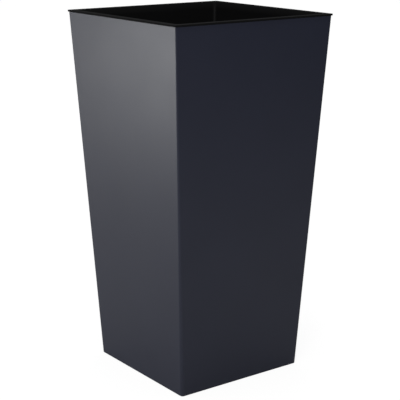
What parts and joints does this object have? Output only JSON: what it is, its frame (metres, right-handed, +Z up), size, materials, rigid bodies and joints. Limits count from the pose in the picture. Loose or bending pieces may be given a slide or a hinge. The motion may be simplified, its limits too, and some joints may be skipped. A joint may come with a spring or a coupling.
{
  "type": "square tapered planter",
  "caption": "Tall square tapered planter: a satin outer shell with a black lift-out liner hung in its mouth by a thin flange, bail handles on the liner and a drain plug in the floor.",
  "frame": {"origin": "centre of the square base, on the ground", "axes": "+Z up along the planter's axis, X and Y square to its walls; the two lifting handles are on the liner's -X (left) and +X (right) walls; in the picture the lit face is -X and the dark face is -Y"},
  "size_m": [0.313, 0.313, 0.61],
  "materials": {
    "shell": "anthracite polypropylene, satin, very fine moulded texture",
    "liner": "black recycled polypropylene, satin",
    "handle": "black polypropylene, satin",
    "plug": "black soft rubber, matt"
  },
  "bodies": {
    "shell": {"outer_shell": "shell"},
    "liner": {"liner": "liner"},
    "handle_left": {"lift_handle_left": "handle"},
    "handle_right": {"lift_handle_right": "handle"},
    "plug": {"drain_plug": "plug"}
  },
  "joints": [
    {"name": "liner_lift", "type": "slide", "parent": "shell", "child": "liner", "axis": [0, 0, 1], "range_m": [0, 0.34]},
    {"name": "handle_left_hinge", "type": "hinge", "parent": "liner", "child": "handle_left", "pos_m": [-0.13187, 0, 0.576], "axis": [0, -1, 0], "range_deg": [0, 196.5]},
    {"name": "handle_right_hinge", "type": "hinge", "parent": "liner", "child": "handle_right", "pos_m": [0.13187, 0, 0.576], "axis": [0, 1, 0], "range_deg": [0, 196.5]},
    {"name": "plug_pull", "type": "slide", "parent": "shell", "child": "plug", "axis": [0, 0, 1], "range_m": [0, 0.12]}
  ]
}
